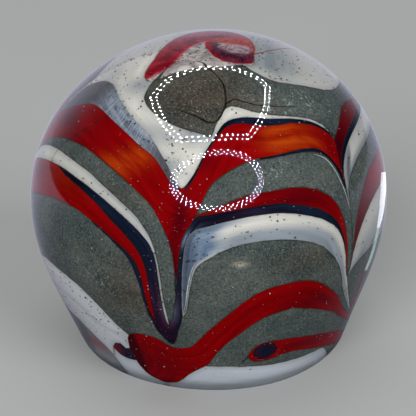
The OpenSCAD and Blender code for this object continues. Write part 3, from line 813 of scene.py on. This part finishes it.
# The places of crown_crack, crown_crack_branch, crown_slit, shoulder_hair and swirl_tail
# are mostly the output of a separate script, which turned places picked in the photo
# into angles. They are not round values chosen by hand.
thread("crown_crack", [(1, 15.3), (6.8, 18.6), (8.4, 21.6), (8.3, 24.1), (7.7, 27.1),
                       (5.7, 29.7), (2.6, 32.5), (-1.8, 33), (-6.5, 31.8), (-11.7, 30.6),
                       (-18.3, 29.9)],
       [0.1, 0.35, 0.5, 0.45, 0.5, 0.35, 0.45, 0.4, 0.5, 0.3, 0.05], ash)
thread("crown_crack_branch", [(8.4, 26.8), (13.9, 25.7), (19.6, 27), (28.6, 29.1), (41, 31.3),
                              (50, 33)], [0.4, 0.45, 0.3, 0.25, 0.18, 0.05], ash)
thread("crown_slit", [(-30.9, 10.3), (-17.2, 10.6), (-8.7, 12.5), (2, 15.5)],
       [0.05, 0.35, 0.55, 0.2], ash)
thread("shoulder_hair", [(-55, 37), (-59.1, 40.9), (-63.8, 45.7), (-67.3, 49.3), (-71, 54),
                         (-72, 59)],
       [0.05, 0.18, 0.2, 0.18, 0.14, 0.05], ash)
thread("swirl_tail", [(71.4, 11.5), (80, 12.7), (88.5, 14.3), (100.6, 17.6), (111.9, 22.8),
                      (118, 28)], [0.45, 0.32, 0.26, 0.24, 0.2, 0.05], ember)
# trail_gleam and lens_gleam are painted highlights: pale strands where the glass shines.
thread("trail_gleam", [(-8.6, 94), (-7.4, 89), (-6.7, 84), (-5.8, 79.2), (-4.6, 75.6),
                       (-2.6, 73)],
       [0.05, 0.2, 0.24, 0.2, 0.14, 0.05], gleam_highlight)
thread("lens_gleam", [(44, 47.6), (48.2, 49.8), (50.3, 52.4), (51.8, 56.5), (53, 62),
                      (53.6, 67)],
       [0.05, 0.16, 0.2, 0.24, 0.22, 0.05], gleam_highlight)
thread("side_streak", [(66, 90), (67, 96), (68, 103), (71, 112), (76, 121)],
       [0.05, 1.0, 1.8, 2.2, 1.4], rose)


# The specks stay above this lat, off the trails by about this many degrees, and vary
# by these shares in shape and towards the small sizes
LOWEST_SPECK = 124
SCATTER = 0.8
UNEVEN = 0.22
SMALL_BIAS = 2.2


def strew(name, count, slots, sizes, lifts, seed, material):
    """Many small uneven bubbles or grains above the trails of some slots, sizes in mm."""
    random = np.random.default_rng(seed)
    az = np.concatenate([a for s, a, _ in skins if s in slots])
    lat = np.concatenate([b for s, _, b in skins if s in slots])
    picked = random.choice(np.flatnonzero(lat < LOWEST_SPECK), count)
    az = az[picked] + random.normal(0, SCATTER, count)
    lat = abs(lat[picked] + random.normal(0, SCATTER, count))
    size = sizes[0] + (sizes[1] - sizes[0]) * random.random(count) ** SMALL_BIAS
    lift = lifts[0] + (lifts[1] - lifts[0]) * random.random(count)
    middle = skin(az, lat, WALL - lift * MM, FLOOR - lift * MM, CORE_ROUND)
    ball = bmesh.new()
    bmesh.ops.create_icosphere(ball, subdivisions=1, radius=1.0)
    shape = np.array([v.co for v in ball.verts])
    sides = np.array([[v.index for v in f.verts] for f in ball.faces])
    ball.free()
    stretch = 1 + random.normal(0, UNEVEN, (count, 1, 3))
    points = middle[:, None] + shape[None] * stretch * (size * MM)[:, None, None]
    faces = sides[None] + (np.arange(count) * len(shape))[:, None, None]
    mesh = bpy.data.meshes.new(name)
    mesh.from_pydata(points.reshape(-1, 3).tolist(), [], faces.reshape(-1, 3).tolist())
    add_piece(name, mesh, material)


pale = make_speck("seed_bubble", srgb(120, 120, 116), srgb(190, 192, 190))
grit = make_speck("ash_grain", srgb(38, 38, 38), srgb(92, 90, 86))
strew("seed_bubbles", 1300, ("red_glass", "navy_glass", "mica_grey_glass", "smoky_glass"),
      (0.04, 0.14), (0.12, 0.9), 11, pale)
strew("ash_grains", 2700, ("white_glass", "mist_glass", "eye_glass"),
      (0.05, 0.24), (0.08, 0.4), 23, grit)


# ---- Camera, floor and light ------------------------------------------------

VIEW_UP = math.radians(24)
VIEW_FROM = 420 * MM
VIEW_AT = Vector((0, -1.5 * MM, 34.7 * MM))
LENS = 150.1


def make_camera():
    data = bpy.data.cameras.new("camera")
    data.lens = LENS
    data.clip_start = 0.01
    camera = bpy.data.objects.new("camera", data)
    bpy.context.scene.collection.objects.link(camera)
    camera.location = (0, -VIEW_FROM * math.cos(VIEW_UP), BELLY_Z + VIEW_FROM * math.sin(VIEW_UP))
    camera.rotation_euler = (VIEW_AT - camera.location).to_track_quat("-Z", "Y").to_euler()
    bpy.context.scene.camera = camera


def add_stage(name, mesh, material):
    mesh.materials.append(material)
    made = bpy.data.objects.new(name, mesh)
    bpy.context.scene.collection.objects.link(made)
    return made


def square_mesh(name, half, z):
    mesh = bpy.data.meshes.new(name)
    corners = [(-half, -half, z), (half, -half, z), (half, half, z), (-half, half, z)]
    mesh.from_pydata(corners, [], [(0, 1, 2, 3)])
    return mesh


def make_floor():
    g = Graph("studio_floor")
    paper = g.noise(g.position(), 3.0, 2.0)
    tone = g.mix(g.span(paper, 0.3, 0.7), srgb(184, 186, 185), srgb(186, 188, 187))
    material = g.finish(Base_Color=tone, Roughness=0.9, Specular_IOR_Level=0.0)
    floor = add_stage("floor", square_mesh("floor", 3, -0.2 * MM), material)
    floor.visible_glossy = False


def glow(name, colour, strength, fades=()):
    """A shining material, which fades in along each (axis, none, full) given."""
    g = Graph(name)
    shine = g.add("Emission")
    shine.inputs["Color"].default_value = colour
    shine.inputs["Strength"].default_value = strength
    if fades:
        split = g.add("SeparateXYZ")
        g.put(split.inputs[0], g.position())
        level = strength
        for axis, none, full in fades:
            level = g.math("MULTIPLY", g.span(split.outputs[axis], none, full), level)
        g.put(shine.inputs["Strength"], level)
    g.tree.links.new(shine.outputs[0], g.add("OutputMaterial").inputs["Surface"])
    g.material.cycles.emission_sampling = "NONE"
    return g.material


def only_in_gloss(made):
    """The glass shows this in its shine, and it lights and shades nothing else."""
    made.visible_camera = False
    made.visible_diffuse = False
    made.visible_transmission = False
    made.visible_shadow = False
    made.visible_volume_scatter = False


def card(name, outline, z, material):
    """A flat card, through (x, y) corners in mm."""
    mesh = bpy.data.meshes.new(name)
    mesh.from_pydata([(x * MM, y * MM, z) for x, y in outline], [], [tuple(range(len(outline)))])
    only_in_gloss(add_stage(name, mesh, material))


# Corners in mm of the cards that show as a strip at the right rim. Most are the output
# of a separate script, which worked out what the glass mirrors at places in the photo.
SIDE_CARD = [(79, 46), (88, 41), (96, 49), (116, 75), (133, 113), (125, 125), (66, 105),
             (80, 78), (79, 55)]
CORNER_CARD = [(79, 46), (65, 31), (57, 19), (60, 14), (71, 25), (88, 41)]
# How far the haze cards reach, in metres, and how bright they are
HAZE_REACH = 1.3
HAZE = 0.68


def make_cards():
    """Cards that the glass shows: a haze along its outline and a strip at the right rim."""
    lilac = (0.78, 0.80, 1.0, 1)
    wide = HAZE_REACH / MM
    sides = [(0, -HAZE_REACH, -0.6), (0, 1.2, 0.3)]
    card("back_card", [(-wide, -50), (wide, -50), (wide, wide), (-wide, wide)], -0.1 * MM,
         glow("back_glow", lilac, HAZE, [(1, -0.05, 0.12), *sides]))
    turns = np.radians(np.arange(90, 271, 10))
    wall = [(HAZE_REACH * math.sin(a), -HAZE_REACH * math.cos(a)) for a in turns]
    n = len(wall)
    mesh = bpy.data.meshes.new("back_wall")
    mesh.from_pydata([(x, y, z) for z in (0.0, HAZE_REACH) for x, y in wall], [],
                     [(i, i + 1, i + n + 1, i + n) for i in range(n - 1)])
    fades = [(1, 0.0, 0.3), (2, HAZE_REACH, 0.0), *sides]
    only_in_gloss(add_stage("back_wall", mesh, glow("wall_glow", lilac, HAZE, fades)))
    card("side_card", SIDE_CARD, 0.0, glow("side_glow", (0.88, 0.90, 1.0, 1), 2.4))
    card("corner_card", CORNER_CARD, 0.0, glow("corner_glow", (0.62, 0.82, 0.78, 1), 1.3))


def led_dots(name, places, radius, facing, material, sides=8):
    """A string of small round lamps, which only the gloss shows."""
    ring = [(math.cos(t), math.sin(t)) for t in 2 * math.pi * np.arange(sides) / sides]
    turn = Vector(facing).to_track_quat("Z", "Y")
    points, faces = [], []
    for p in places:
        faces.append(tuple(len(points) + i for i in range(sides)))
        points += [Vector(p) + turn @ Vector((x * radius, y * radius, 0)) for x, y in ring]
    mesh = bpy.data.meshes.new(name)
    mesh.from_pydata([tuple(p) for p in points], [], faces)
    only_in_gloss(add_stage(name, mesh, material))


# The overhead frame as (x, y) shares of its height above the crown. It started from what
# a separate script worked out from the photo, and was then changed by hand.
FRAME_OUTLINE = [(-0.58, 0.37), (-0.40, 0.63), (-0.125, 0.71), (0.2, 0.69), (0.42, 0.6),
                 (0.55, 0.49), (0.56, 0.11), (0.51, -0.18), (0.41, -0.42), (0.06, -0.46),
                 (-0.19, -0.46), (-0.38, -0.44), (-0.49, -0.18), (-0.55, 0.1), (-0.58, 0.37)]
CROWN_Z = 0.077


def make_overhead_frame():
    """A frame of small lamps overhead, in two rows."""
    high, count, radius, strength = 0.45, 58, 5.2 * MM, 110
    middle_y = 0.16
    outline = np.array(FRAME_OUTLINE)
    along = np.concatenate([[0], np.cumsum(np.linalg.norm(np.diff(outline, axis=0), axis=1))])
    for row, grow in enumerate((1.0, 0.9)):
        at = (np.arange(count) + 0.5 * row) / count * along[-1]
        x = np.interp(at, along, outline[:, 0]) * grow
        y = (np.interp(at, along, outline[:, 1]) - middle_y) * grow + middle_y
        places = [(a * high, b * high, CROWN_Z + high) for a, b in zip(x, y)]
        led_dots(f"overhead_lamps_{row}", places, radius, (0, 0, -1),
                 glow(f"overhead_glow_{row}", (1, 1, 1, 1), strength))


def make_ring_lamp():
    """A ring of small lamps above the camera, in three rows."""
    up, far, count, radius, strength = math.radians(38.5), 0.40, 46, 3.9 * MM, 60
    half_wide, half_high = 0.192, 0.138
    away = Vector((0.065, -math.cos(up), math.sin(up))).normalized()
    middle = Vector((0, 0, 0.055)) + away * far
    right = away.cross(Vector((0, 0, 1))).normalized()
    top = right.cross(away).normalized()
    for row, grow in enumerate((1.08, 1.0, 0.92)):
        places = []
        for i in range(count):
            t = 2 * math.pi * (i + 0.5 * row) / count
            places.append(middle + right * half_wide * grow * math.cos(t)
                          + top * half_high * grow * math.sin(t))
        led_dots(f"ring_lamps_{row}", places, radius, -away,
                 glow(f"ring_glow_{row}", (0.84, 0.72, 1, 1), strength))


LAMP_AIM = Vector((0, 0, 30 * MM))


def make_lamp(name, at, size, power):
    """A round soft light, which the gloss doesn't show."""
    data = bpy.data.lights.new(name, "AREA")
    data.shape = "DISK"
    data.size = size
    data.energy = power
    lamp = bpy.data.objects.new(name, data)
    bpy.context.scene.collection.objects.link(lamp)
    lamp.location = at
    aim = LAMP_AIM - Vector(at)
    lamp.rotation_euler = aim.to_track_quat("-Z", "Y").to_euler()
    lamp.visible_glossy = False


def make_world():
    world = bpy.data.worlds.new("studio")
    bpy.context.scene.world = world
    world.use_nodes = True
    back = world.node_tree.nodes["Background"]
    back.inputs["Color"].default_value = (0.95, 0.97, 1.0, 1)
    back.inputs["Strength"].default_value = 0.26
    world.cycles_visibility.glossy = False


make_camera()
make_floor()
make_world()
make_cards()
make_overhead_frame()
make_ring_lamp()
make_lamp("key", (-1.0, -2.2, 1.35), 1.6, 44)
make_lamp("fill", (1.7, -1.6, 1.3), 1.6, 27)
make_lamp("top", (0.0, 0.5, 2.6), 2.0, 13)
bpy.context.scene.view_settings.view_transform = "Standard"
